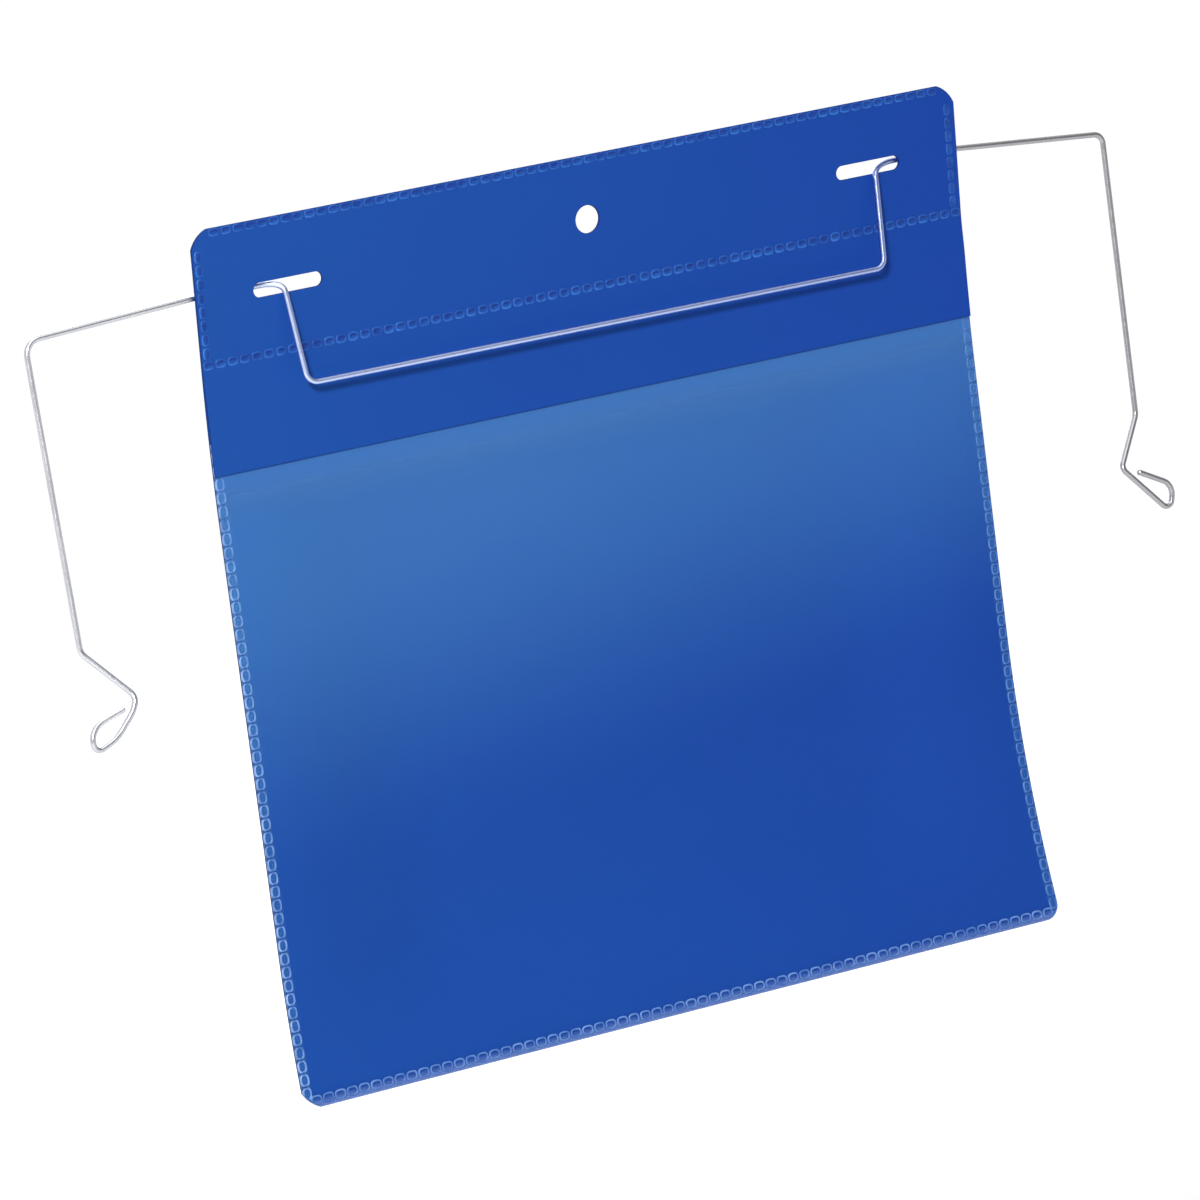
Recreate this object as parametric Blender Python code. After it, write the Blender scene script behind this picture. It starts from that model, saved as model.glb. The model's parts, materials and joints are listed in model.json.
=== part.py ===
"""Hanging document pocket: a welded plastic pocket with a rain flap and a bent wire hanger.

All sizes are in millimetres and become metres at the end. X is to the right, Y to the back and Z up.
While the pieces are drawn, z is 0 on the header's lower weld line. The finished part has its origin in the
middle of the hang hole.
"""

import math

import bmesh
import bpy
from mathutils import Vector

MM = 0.001

# Pocket outline
POCKET_WIDTH = 223.0
HEADER_HEIGHT = 33.0  # top edge to the lower weld line
FLAP_DROP = 27.3  # weld line to the flap's lower edge
WINDOW_DROP = 157.7  # flap's lower edge to the bottom edge
MOUTH_COVER = 8.0  # how far the window reaches up behind the flap
CORNER_CUT = 4.8  # what the corner punch takes off each edge
CORNER_RADIUS = 9.0  # of the punch, which leaves the edges at a slight angle

# Sheets and the gaps between them
BACK_SHEET = 0.5
FRONT_SHEET = 0.5
WINDOW_SHEET = 0.4
LAYER_GAP = 0.3
FLAP_GAP = 0.3  # the loose flap stands this far off the window

# Form of the sheets
HEADER_LEAN = math.radians(5.2)  # the header leans forward of the pocket
BEND_LENGTH = 40.0  # below the weld line, where the sheet turns into the pocket
CURL_RADIUS = 309.0  # forward curl of the bottom
CURL_LEFT = 40.0  # height of the curled zone at the left edge
CURL_RIGHT = 75.5  # and at the right edge
POCKET_DEPTH = 5.1  # free depth between window and back sheet
WELD_MARGIN = 6.0  # flat welded rim
SIDE_SHOULDER = 26.0  # from the rim to the full depth, at the sides
END_SHOULDER = 30.0  # at the bottom
MOUTH_SHOULDER = 17.0  # under the header

# Hole and slots in the header
HOLE_DIAMETER = 7.0
HOLE_BELOW_TOP = 16.0
SLOT_LENGTH = 19.3
SLOT_HEIGHT = 4.0
SLOT_BELOW_TOP = 17.5
SLOT_INSET = 26.5  # slot centre to the side edge

# Wire hanger
WIRE_DIAMETER = 1.6
WIRE_CLEARANCE = 0.3
LIP_DEPTH = 0.35  # swing axis under the slots' lower edge
SWING_RANGE = math.radians(120.0)
LEG_OUTSET = 1.4  # bail leg to the slot centre
BAIL_TAPER = 1.8  # the bail narrows this much to its bar, per side
BAR_DROP = 9.3  # bar under the weld line
BAIL_LEAN = math.radians(10.0)  # bail in front of the header
BAIL_BEND = 3.0
ARM_REACH = 46.3  # arm's corner outside the side edge
ARM_AHEAD = 0.5  # the corner comes forward this much
ARM_SAG = 3.0
ARM_SWEEP = 40.0  # radius where the arm starts to sag
ARM_BEND = 4.0
SIDE_LEG_DROP = 74.5
SIDE_LEG_TUCK = 1.7  # the side leg comes in this much
SIDE_LEG_AHEAD = 3.0  # and forward this much
HOOK_BEND = 3.0
HOOK_IN = (-10.2, -6.1, -11.1)  # first run of the hook, from the end of the side leg
NECK_BEND = 3.0
HOOK_LOOP = (  # teardrop loop from the neck: point and bend radius, the last point is the cut end
    (2.8, -0.8, -5.0, 25.0),
    (13.5, -1.2, -14.5, 2.0),
    (14.0, -1.3, -8.1, 4.0),
    (11.3, -0.3, -5.5, 5.0),
    (4.8, -1.2, -2.9, 0.0),
)

# Flap hinge
HINGE_UNDER_BAR = 3.0
HINGE_ABOVE = 0.15  # header sheet ends this far over the axis
HINGE_BELOW = 0.25  # flap starts this far under it

# Drawing
ARC_STEPS = 6
WIRE_SIDES = 10
CUTTER_REACH = 5.0
SNAP = 0.02
SHOULDER_STEPS = 4
CURVE_STEPS = 6
BEND_ROOM = 0.49  # share of a straight run that one bend may take
SLOT_TURN = 0.4  # how soon the wire runs along the slot behind the header

HALF_WIDTH = POCKET_WIDTH / 2
BOTTOM = -(FLAP_DROP + WINDOW_DROP)
WINDOW_TOP = -(FLAP_DROP - MOUTH_COVER)
HINGE_Z = -(BAR_DROP + HINGE_UNDER_BAR)
HOLE_Z = HEADER_HEIGHT - HOLE_BELOW_TOP
SLOT_Z = HEADER_HEIGHT - SLOT_BELOW_TOP
SLOT_X = HALF_WIDTH - SLOT_INSET
WIRE_RADIUS = WIRE_DIAMETER / 2
FLAP_STEP = LAYER_GAP + WINDOW_SHEET + FLAP_GAP  # back of the flap in front of the back sheet
FRONT_MIDDLE = -(LAYER_GAP + FRONT_SHEET - BACK_SHEET) / 2  # middle of the two header layers
HALF_HEADER = (BACK_SHEET + LAYER_GAP + FRONT_SHEET) / 2


def smooth(t):
    """0 to 1 with a soft start and end."""
    t = min(max(t, 0.0), 1.0)
    return t * t * (3 - 2 * t)


def sheet_y(x, z):
    """Front of the back sheet at its welded rim: leaning header, soft bend, flat pocket, curled bottom."""
    y = 0.0
    if z > -BEND_LENGTH:
        bend = min(z, 0.0) + BEND_LENGTH
        y -= math.tan(HEADER_LEAN) * (bend * bend / (2 * BEND_LENGTH) + max(z, 0.0))
    across = (x + HALF_WIDTH) / POCKET_WIDTH
    below = BOTTOM + CURL_LEFT + (CURL_RIGHT - CURL_LEFT) * across - z
    if below > 0:
        y -= below * below / (2 * CURL_RADIUS)
    return y


def pocket_bow(x, z):
    """How far the back sheet stands behind its welded rim."""
    side = smooth((HALF_WIDTH - WELD_MARGIN - abs(x)) / SIDE_SHOULDER)
    end = smooth((z - BOTTOM - WELD_MARGIN) / END_SHOULDER)
    mouth = smooth((-z - LAYER_GAP) / MOUTH_SHOULDER)
    return (POCKET_DEPTH - LAYER_GAP) * side * end * mouth


def front_offset(z):
    """Back of the front sheet: on the back sheet at the header, over the window below the weld line."""
    return -LAYER_GAP - (FLAP_STEP - LAYER_GAP) * smooth(-z / (-HINGE_Z - HINGE_ABOVE))


ORIGIN = Vector((0.0, sheet_y(0.0, HOLE_Z) + FRONT_MIDDLE, HOLE_Z))


def material(name, srgb, roughness, metallic=0.0, alpha=1.0):
    """A Principled material with a colour given in 0 to 255."""
    mat = bpy.data.materials.new(name)
    mat.use_nodes = True
    shader = mat.node_tree.nodes["Principled BSDF"]
    linear = [((c / 255 + 0.055) / 1.055) ** 2.4 for c in srgb]
    shader.inputs["Base Color"].default_value = (*linear, 1.0)
    shader.inputs["Roughness"].default_value = roughness
    shader.inputs["Metallic"].default_value = metallic
    shader.inputs["Alpha"].default_value = alpha
    return mat


def finish(name, bm, mat, pivot):
    """Turns a drawn body into an object whose own origin is the pivot."""
    for v in bm.verts:
        v.co = (v.co - pivot) * MM
    bmesh.ops.recalc_face_normals(bm, faces=bm.faces)
    mesh = bpy.data.meshes.new(name)
    bm.to_mesh(mesh)
    bm.free()
    mesh.materials.append(mat)
    obj = bpy.data.objects.new(name, mesh)
    obj.location = (pivot - ORIGIN) * MM
    bpy.context.scene.collection.objects.link(obj)
    return obj


def punched_outline(left, right, low, high, low_cut, high_cut):
    """Counter-clockwise outline in x and z. A corner is a shallow arc, or square where its cut is 0."""
    points = []
    corners = (
        (right, low, -1, 1, -45, low_cut),
        (right, high, -1, -1, 45, high_cut),
        (left, high, 1, -1, 135, high_cut),
        (left, low, 1, 1, 225, low_cut),
    )
    for x, z, into_x, into_z, middle, cut in corners:
        if cut == 0:
            points.append((x, z))
            continue
        setback = cut / 2 + math.sqrt((CORNER_RADIUS**2 - cut**2 / 2) / 2)
        half_turn = math.asin(cut / (math.sqrt(2) * CORNER_RADIUS))
        for i in range(ARC_STEPS + 1):
            a = math.radians(middle) + half_turn * (2 * i / ARC_STEPS - 1)
            arc_x = into_x * setback + CORNER_RADIUS * math.cos(a)
            arc_z = into_z * setback + CORNER_RADIUS * math.sin(a)
            points.append((x + arc_x, z + arc_z))
    return points


def slot_outline(x, z, length, height):
    """A slot with round ends, or a round hole when length equals height."""
    points = []
    straight = (length - height) / 2
    for side, start in ((1, -90), (-1, 90)):
        for i in range(2 * ARC_STEPS + 1):
            a = math.radians(start + 90 * i / ARC_STEPS)
            points.append((x + side * straight + height / 2 * math.cos(a), z + height / 2 * math.sin(a)))
    if straight == 0:
        points = points[: 2 * ARC_STEPS] + points[2 * ARC_STEPS + 1 : -1]
    return points


def prism(outline, front, back):
    """A straight body between two depths."""
    bm = bmesh.new()
    near = [bm.verts.new((x, front, z)) for x, z in outline]
    far = [bm.verts.new((x, back, z)) for x, z in outline]
    bm.faces.new(near)
    bm.faces.new(list(reversed(far)))
    for i in range(len(outline)):
        j = (i + 1) % len(outline)
        bm.faces.new((near[j], near[i], far[i], far[j]))
    bmesh.ops.recalc_face_normals(bm, faces=bm.faces)
    return bm


def scratch_object(name, bm):
    """A temporary object for the cut."""
    mesh = bpy.data.meshes.new(name)
    bm.to_mesh(mesh)
    bm.free()
    obj = bpy.data.objects.new(name, mesh)
    bpy.context.scene.collection.objects.link(obj)
    return obj


def cut_through(bm, outlines):
    """Cuts straight openings through a flat slab."""
    slab = scratch_object("slab", bm)
    used = [slab]
    for outline in outlines:
        cutter = scratch_object("cutter", prism(outline, -CUTTER_REACH, CUTTER_REACH))
        cutter.hide_render = True
        cutter.display_type = "WIRE"
        used.append(cutter)
        boolean = slab.modifiers.new("opening", "BOOLEAN")
        boolean.operation = "DIFFERENCE"
        boolean.solver = "EXACT"
        boolean.object = cutter
    bpy.context.view_layer.update()
    evaluated = slab.evaluated_get(bpy.context.evaluated_depsgraph_get())
    cut = bmesh.new()
    cut.from_mesh(evaluated.to_mesh())
    for obj in used:
        bpy.data.objects.remove(obj)
    return cut


def slice_at(bm, xs, zs):
    """Adds edges across a slab so that it can follow a curved form."""
    for x in xs:
        geometry = bm.verts[:] + bm.edges[:] + bm.faces[:]
        bmesh.ops.bisect_plane(bm, geom=geometry, dist=SNAP, plane_co=(x, 0, 0), plane_no=(1, 0, 0))
    for z in zs:
        geometry = bm.verts[:] + bm.edges[:] + bm.faces[:]
        bmesh.ops.bisect_plane(bm, geom=geometry, dist=SNAP, plane_co=(0, 0, z), plane_no=(0, 0, 1))


def steps(start, stop, count):
    """Evenly spaced values, both ends included."""
    return [start + (stop - start) * i / count for i in range(count + 1)]


def bend_slices():
    return steps(0.0, -BEND_LENGTH, CURVE_STEPS)


def curl_slices():
    return steps(BOTTOM + CURL_RIGHT, BOTTOM + WELD_MARGIN, CURVE_STEPS)


def openings():
    slots = [slot_outline(side * SLOT_X, SLOT_Z, SLOT_LENGTH, SLOT_HEIGHT) for side in (-1, 1)]
    return slots + [slot_outline(0.0, HOLE_Z, HOLE_DIAMETER, HOLE_DIAMETER)]


def back_panel(mat):
    """One sheet from the top edge to the bottom: header back, then the pocket's back."""
    outline = punched_outline(-HALF_WIDTH, HALF_WIDTH, BOTTOM, HEADER_HEIGHT, CORNER_CUT, CORNER_CUT)
    bm = cut_through(prism(outline, 0.0, BACK_SHEET), openings())
    rim = HALF_WIDTH - WELD_MARGIN
    right = steps(rim, rim - SIDE_SHOULDER, SHOULDER_STEPS) + [(rim - SIDE_SHOULDER) / 2]
    xs = [-x for x in right] + [0.0] + right
    zs = bend_slices() + steps(-LAYER_GAP, -LAYER_GAP - MOUTH_SHOULDER, SHOULDER_STEPS)[1:]
    rim_top = BOTTOM + WELD_MARGIN
    zs += curl_slices() + steps(rim_top + END_SHOULDER, rim_top, SHOULDER_STEPS)
    slice_at(bm, xs, sorted(set(zs)))
    for v in bm.verts:
        v.co.y += sheet_y(v.co.x, v.co.z) + pocket_bow(v.co.x, v.co.z)
    return finish("back_panel", bm, mat, ORIGIN)


def header_front(mat):
    """Fixed part of the front sheet, down to the line where the flap bends."""
    low = HINGE_Z + HINGE_ABOVE
    outline = punched_outline(-HALF_WIDTH, HALF_WIDTH, low, HEADER_HEIGHT, 0, CORNER_CUT)
    bm = cut_through(prism(outline, -FRONT_SHEET, 0.0), openings())
    slice_at(bm, [], steps(0.0, low, SHOULDER_STEPS)[:-1])
    for v in bm.verts:
        v.co.y += sheet_y(v.co.x, v.co.z) + front_offset(v.co.z)
    return finish("header_front", bm, mat, ORIGIN)


def rain_flap(mat):
    """Free part of the front sheet, which lifts off the pocket's mouth."""
    top = HINGE_Z - HINGE_BELOW
    outline = punched_outline(-HALF_WIDTH, HALF_WIDTH, -FLAP_DROP, top, 0, 0)
    bm = prism(outline, -FLAP_STEP - FRONT_SHEET, -FLAP_STEP)
    slice_at(bm, [], steps(top, -FLAP_DROP, SHOULDER_STEPS)[1:-1])
    for v in bm.verts:
        v.co.y += sheet_y(v.co.x, v.co.z)
    pivot = Vector((0.0, sheet_y(0.0, HINGE_Z) - FLAP_STEP - FRONT_SHEET, HINGE_Z))
    return finish("rain_flap", bm, mat, pivot)


def front_window(mat):
    """Clear front of the pocket, welded to the back sheet at both sides and the bottom."""
    outline = punched_outline(-HALF_WIDTH, HALF_WIDTH, BOTTOM, WINDOW_TOP, CORNER_CUT, 0)
    bm = prism(outline, -LAYER_GAP - WINDOW_SHEET, -LAYER_GAP)
    zs = [z for z in bend_slices() if z < WINDOW_TOP] + curl_slices()
    slice_at(bm, steps(-HALF_WIDTH, HALF_WIDTH, CURVE_STEPS)[1:-1], sorted(zs))
    for v in bm.verts:
        v.co.y += sheet_y(v.co.x, v.co.z)
    return finish("front_window", bm, mat, ORIGIN)


def rounded_path(points, radii):
    """A line of points with each inner corner turned into an arc."""
    path = [points[0]]
    for before, corner, after, radius in zip(points, points[1:], points[2:], radii):
        back = (before - corner).normalized()
        ahead = (after - corner).normalized()
        half = back.angle(ahead) / 2
        room = BEND_ROOM * min((before - corner).length, (after - corner).length)
        tangent = min(radius / math.tan(half), room)
        centre = corner + (back + ahead).normalized() * (tangent / math.cos(half))
        first = corner + back * tangent - centre
        last = corner + ahead * tangent - centre
        turn = first.angle(last)
        for i in range(ARC_STEPS + 1):
            t = i / ARC_STEPS
            swept = first * math.sin((1 - t) * turn) + last * math.sin(t * turn)
            path.append(centre + swept / math.sin(turn))
    path.append(points[-1])
    return path


def tube(path, radius):
    """A round wire with flat cut ends."""
    bm = bmesh.new()
    rings = []
    along = (path[1] - path[0]).normalized()
    side = along.orthogonal().normalized()
    for i, point in enumerate(path):
        before = path[max(i - 1, 0)]
        after = path[min(i + 1, len(path) - 1)]
        new_along = (after - before).normalized()
        side.rotate(along.rotation_difference(new_along))
        along = new_along
        side = (side - along * side.dot(along)).normalized()
        other = along.cross(side)
        ring = []
        for k in range(WIRE_SIDES):
            a = 2 * math.pi * k / WIRE_SIDES
            ring.append(bm.verts.new(point + (side * math.cos(a) + other * math.sin(a)) * radius))
        rings.append(ring)
    for ring, following in zip(rings, rings[1:]):
        for k in range(WIRE_SIDES):
            j = (k + 1) % WIRE_SIDES
            bm.faces.new((ring[k], ring[j], following[j], following[k]))
    bm.faces.new(list(reversed(rings[0])))
    bm.faces.new(rings[-1])
    return bm


def wire_hanger(mat):
    """One wire: bail in front of the header, over the slots' lower lips, arms, side legs and hook loops."""
    axis_z = SLOT_Z - SLOT_HEIGHT / 2 - LIP_DEPTH
    axis = Vector((0.0, sheet_y(0.0, axis_z) + FRONT_MIDDLE, axis_z))
    lean = Vector((0.0, -math.sin(HEADER_LEAN), math.cos(HEADER_LEAN)))
    back = Vector((0.0, math.cos(HEADER_LEAN), math.sin(HEADER_LEAN)))
    wrap = math.hypot(HALF_HEADER, LIP_DEPTH) + WIRE_CLEARANCE + WIRE_RADIUS

    def local(x, behind, above):
        return axis + Vector((x, 0.0, 0.0)) + back * behind + lean * above

    # Bail: bar, leg and the turn over the lip
    leg_x = SLOT_X + LEG_OUTSET
    down = back * -math.sin(BAIL_LEAN) - lean * math.cos(BAIL_LEAN)
    leg_top = local(leg_x, -wrap * math.cos(BAIL_LEAN), wrap * math.sin(BAIL_LEAN))
    leg_length = (leg_top.z + BAR_DROP) / -down.z
    bar_end = leg_top + down * leg_length - Vector((BAIL_TAPER, 0.0, 0.0))
    bar_middle = Vector((0.0, bar_end.y, bar_end.z))
    path = rounded_path([bar_middle, bar_end, leg_top], [BAIL_BEND])

    # Through the slot to the arm behind the header
    arm_behind = HALF_HEADER + WIRE_CLEARANCE + WIRE_RADIUS
    arm_above = arm_behind * math.tan(SWING_RANGE / 2)
    arm_start = local(SLOT_X + SLOT_LENGTH / 2 - WIRE_RADIUS, arm_behind, arm_above)
    rise = leg_top - down * (arm_above - wrap * math.sin(BAIL_LEAN))
    run = Vector((leg_x, arm_start.y, arm_start.z)).lerp(arm_start, SLOT_TURN)
    for i in range(1, 2 * ARC_STEPS):
        t = i / (2 * ARC_STEPS)
        u = 1 - t
        path.append(leg_top * u**3 + rise * (3 * u * u * t) + run * (3 * u * t * t) + arm_start * t**3)

    # Arm, side leg and hook
    arm_edge = local(HALF_WIDTH, arm_behind, arm_above)
    corner = arm_edge + Vector((ARM_REACH, -ARM_AHEAD, -ARM_SAG))
    leg_end = corner + Vector((-SIDE_LEG_TUCK, -SIDE_LEG_AHEAD, -SIDE_LEG_DROP))
    neck = leg_end + Vector(HOOK_IN)
    loop_points = [neck + Vector((x, y, z)) for x, y, z, _ in HOOK_LOOP]
    stations = [arm_start, arm_edge, corner, leg_end, neck] + loop_points
    bends = [ARM_SWEEP, ARM_BEND, HOOK_BEND, NECK_BEND] + [bend for _, _, _, bend in HOOK_LOOP[:-1]]
    path += rounded_path(stations, bends)

    mirrored = [Vector((-p.x, p.y, p.z)) for p in reversed(path[1:])]
    return finish("wire_hanger", tube(mirrored + path[1:], WIRE_RADIUS), mat, axis)


for old in list(bpy.data.objects):
    bpy.data.objects.remove(old)

back_panel(material("back_blue", (33, 79, 165), 0.45))
header_front(material("header_blue", (33, 79, 165), 0.42))
rain_flap(material("flap_blue", (36, 82, 168), 0.42))
front_window(material("window_film", (58, 108, 180), 0.35, alpha=0.55))
wire_hanger(material("wire_steel", (168, 170, 174), 0.32, metallic=1.0))
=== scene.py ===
import json
import math
import random
from collections import namedtuple

import bmesh
import bpy
from mathutils import Matrix, Vector
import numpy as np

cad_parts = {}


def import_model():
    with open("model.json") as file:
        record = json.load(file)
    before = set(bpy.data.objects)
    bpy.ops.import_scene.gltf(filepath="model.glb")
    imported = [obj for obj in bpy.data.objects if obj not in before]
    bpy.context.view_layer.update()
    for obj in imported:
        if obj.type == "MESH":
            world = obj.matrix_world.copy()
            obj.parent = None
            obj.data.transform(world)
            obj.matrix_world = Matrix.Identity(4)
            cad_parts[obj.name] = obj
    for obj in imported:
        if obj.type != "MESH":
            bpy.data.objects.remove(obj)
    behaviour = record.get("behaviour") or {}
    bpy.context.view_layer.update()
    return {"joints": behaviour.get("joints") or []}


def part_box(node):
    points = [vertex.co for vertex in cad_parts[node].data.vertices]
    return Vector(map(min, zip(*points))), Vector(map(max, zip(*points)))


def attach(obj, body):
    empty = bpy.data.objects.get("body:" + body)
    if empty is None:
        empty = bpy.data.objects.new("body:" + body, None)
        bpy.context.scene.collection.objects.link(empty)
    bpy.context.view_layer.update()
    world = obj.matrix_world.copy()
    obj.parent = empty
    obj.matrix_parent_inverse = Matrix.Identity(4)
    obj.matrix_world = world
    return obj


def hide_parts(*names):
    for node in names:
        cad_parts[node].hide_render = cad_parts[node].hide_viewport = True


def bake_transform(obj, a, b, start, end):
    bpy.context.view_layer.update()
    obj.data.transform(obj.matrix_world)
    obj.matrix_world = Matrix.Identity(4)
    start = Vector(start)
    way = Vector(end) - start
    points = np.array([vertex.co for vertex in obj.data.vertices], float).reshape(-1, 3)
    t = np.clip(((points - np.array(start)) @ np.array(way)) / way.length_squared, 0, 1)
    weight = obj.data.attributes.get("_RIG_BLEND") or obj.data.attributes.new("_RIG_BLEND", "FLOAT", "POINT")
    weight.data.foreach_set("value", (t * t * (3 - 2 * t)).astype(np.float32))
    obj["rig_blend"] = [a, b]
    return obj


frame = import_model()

# The forms are drawn in millimetres with z 0 on the header's lower weld line, then moved into the frame.
MM = 0.001
JOINTS = {joint["name"]: Vector(joint["pos_m"]) / MM for joint in frame["joints"]}
BACK_LOW, BACK_HIGH = (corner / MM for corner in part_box("back_panel"))
FLAP_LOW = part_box("rain_flap")[0] / MM
WINDOW_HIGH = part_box("front_window")[1] / MM

# Pocket outline, from the frame
HOLE_Z = 17.0  # hang hole over the weld line, as in the solids
HALF_WIDTH = BACK_HIGH.x
HEADER_HEIGHT = BACK_HIGH.z + HOLE_Z
BOTTOM = BACK_LOW.z + HOLE_Z
FLAP_EDGE = FLAP_LOW.z + HOLE_Z
WINDOW_TOP = WINDOW_HIGH.z + HOLE_Z
HINGE_Z = JOINTS["flap_lift"].z + HOLE_Z
SWING_Z = JOINTS["hanger_swing"].z + HOLE_Z
CORNER_CUT = 4.8

# Punched corners: cut along each edge and radius of the arc
TOP_LEFT = (4.6, 8.0)
TOP_RIGHT = (CORNER_CUT, 9.0)
LOW_LEFT = (4.2, 9.0)
LOW_RIGHT = (4.2, 4.2)
SQUARE = (0.0, 1.0)

# The solids' two header layers, which place the origin and the wire
HEADER_MIDDLE = -0.15
HALF_HEADER = 0.65

# Sheets. The solids' welds are gaps, which are closed here.
BACK_SHEET = 0.4
FRONT_SHEET = 0.4
WINDOW_SHEET = 0.3
LAYER_GAP = 0.05
FLAP_GAP = 0.15
FLAP_STEP = LAYER_GAP + WINDOW_SHEET + FLAP_GAP
FRONT_EDGE_ROUND = 0.13
BACK_EDGE_ROUND = 0.1
FILM_EDGE_ROUND = 0.08
BEND_ABOVE = 1.2  # the lifted flap bends from here over the hinge line
BEND_BELOW = 5.0  # to here under it

# Form of the sheets, as in the solids but with a gentler bow at the sides
HEADER_LEAN = math.radians(5.2)
BEND_LENGTH = 40.0
CURL_RADIUS = 309.0
CURL_LEFT = 40.0
CURL_RIGHT = 75.5
BACK_BOW = 4.8
WELD_MARGIN = 6.0
SIDE_SHOULDER = 44.0
END_SHOULDER = 30.0
MOUTH_START = 0.3
MOUTH_SHOULDER = 17.0
HEADER_BOTTOM = HINGE_Z + 0.15

# Hole and slots
HOLE_DIAMETER = 7.0
SLOT_LENGTH = 19.3
SLOT_HEIGHT = 3.6
SLOT_Z = 15.77
SLOT_X = HALF_WIDTH - 26.5
SLOT_SHIFT = -1.0  # both slots are punched this far off centre

# Wire
WIRE_RADIUS = 0.8
DRAWN_RADIUS = 0.74  # the drawn wire is a little thinner than its solid
WIRE_CLEARANCE = 0.3
LIP_DEPTH = 0.35
ARM_ANGLE = math.radians(60.0)
ARM_BEHIND = HALF_HEADER + WIRE_CLEARANCE + WIRE_RADIUS
ARM_ABOVE = ARM_BEHIND * math.tan(ARM_ANGLE)
HEADER_UP = Vector((0.0, -math.sin(HEADER_LEAN), math.cos(HEADER_LEAN)))
HEADER_BACK = Vector((0.0, math.cos(HEADER_LEAN), math.sin(HEADER_LEAN)))
LEG_OUTSET = 1.4
BAIL_TAPER = 1.8
BAR_DROP = 9.0
BAIL_LEAN = math.radians(10.0)
BAIL_BEND = 3.0
ARM_REACH = 46.3
ARM_AHEAD = 0.5
ARM_SAG = 3.0
ARM_SWEEP = 40.0
SIDE_LEG_DROP = 74.5
SIDE_LEG_TUCK = 1.7
SIDE_LEG_AHEAD = 3.0
HOOK_BEND = 3.0
Hook = namedtuple("Hook", "arm_bend into neck_bend loop")  # loop: points from the neck and their bend radii
LEFT_HOOK = Hook(4.0, (-10.1, -6.1, -12.1), 3.0, (
    (1.8, -0.8, -3.2, 9.0),
    (7.2, -1.0, -8.8, 11.0),
    (13.3, -1.2, -11.1, 2.0),
    (14.0, -1.2, -7.2, 4.0),
    (11.5, -0.6, -4.4, 5.0),
    (4.2, -1.2, -2.0, 0.0),
))
RIGHT_HOOK = Hook(2.6, (-10.5, -6.1, -11.8), 1.8, (
    (12.8, -1.2, -13.8, 1.6),
    (14.6, -1.2, -6.9, 4.0),
    (4.1, -1.2, -1.6, 0.0),
))
SLOT_TURN = 0.4
BEND_ROOM = 0.49  # the most of a straight stretch that one bend may take
BAIL_TILT = 0.0085  # the hanger hangs a little higher on the left
ARM_TILT = 0.0024  # but less behind the header, which it would touch when it swings
CORNER_TILT = 0.007
TILT_LOW = -60.0  # under this height it hangs level
TILT_HIGH = 10.0  # over this one it has its full tilt
BAIL_SHIFT = 1.3  # the bail lies this far to the left in the slots
SHIFT_NEAR = 95.0  # distance from the middle up to which the wire is shifted so
SHIFT_FAR = 155.0  # and from which it isn't
WIRE_SIDES = 24
WIRE_END_ROUND = 0.25
STREAK_LENGTH = 30.0  # of the drawing marks along the wire

# Weld rings: outer size, width of the raised line, its height, and whether the ring has a floor of its own
Ring = namedtuple("Ring", "length width line height floor")
WINDOW_RING = Ring(3.2, 2.45, 0.5, 0.12, False)
HEADER_RING = Ring(3.1, 2.1, 0.6, 0.14, True)
SEAM_RING = Ring(3.15, 2.4, 0.75, 0.2, True)
RING_PITCH = 3.36
RING_SINK = 0.04
RING_SHOULDER = 0.28  # shoulders of the raised line from its crest, as a share of its width
SHOULDER_HEIGHT = 0.8  # and their share of its height
HOLLOW_HEIGHT = 0.02
RING_SQUARENESS = 3  # 2 is an ellipse
RING_POINTS = 24
RING_SPREAD = 0.04  # rings vary this much in length
WINDOW_SIDE_INSET = 1.3  # ring centre to the cut edge
WINDOW_END_INSET = 1.9
HEADER_TOP_INSET = 1.1
HEADER_LEFT_INSET = 1.5
HEADER_RIGHT_INSET = 2.3
SIDE_ROW_LOW = BOTTOM + 2.2
END_ROW_INSET = 1.8
LOW_LEFT_TRIM = 2.9  # rings end this far from the lower corners, along the diagonal
LOW_RIGHT_TRIM = 2.2
SIDE_ROW_HIGH = FLAP_EDGE - 0.3

# Painted light and shade on a ring, as a share of its pale colour: its side to the right or up, its other
# side, its ends, and its hollow next to each side. The left rows get more painted light than the right.
White = namedtuple("White", "plus minus ends plus_hollow minus_hollow")
LEFT_RING_LIGHT = White(0.8, 0.85, 0.15, 0.4, 0.4)
RIGHT_RING_LIGHT = White(0.08, 0.34, 0.06, 0.28, 0.28)
BOTTOM_RING_LIGHT = White(0.45, 0.25, 0.4, 0.28, 0.28)
HEADER_RING_LIGHT = White(0.5, 0.95, 0.45, 0.0, 0.42)
HEADER_RIGHT_RING_LIGHT = White(0.45, 0.5, 0.4, 0.3, 0.35)

# Haze of the film, as the share of light that it holds back. The veil is partly the film's own haze and
# partly painted sheen of light; the hem and the lip are painted light.
VEIL_HAZE = (0.003, 0.104)  # of a veil that gets denser towards the mouth
VEIL_LOW = BOTTOM + 0.38 * (FLAP_EDGE - BOTTOM)
VEIL_HIGH = FLAP_EDGE - 0.03 * (FLAP_EDGE - BOTTOM)
# painted light: the veil is paler further down on the left, over the shaded bow of the back sheet
VEIL_SLANT = 0.1  # it reaches further down on the left
VEIL_CLOUD = 0.05  # and varies by this share
RIM_HAZE = 0.06  # along the welded sides
RIM_WIDTH = 3.2
RIM_SOFT = 1.2
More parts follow.
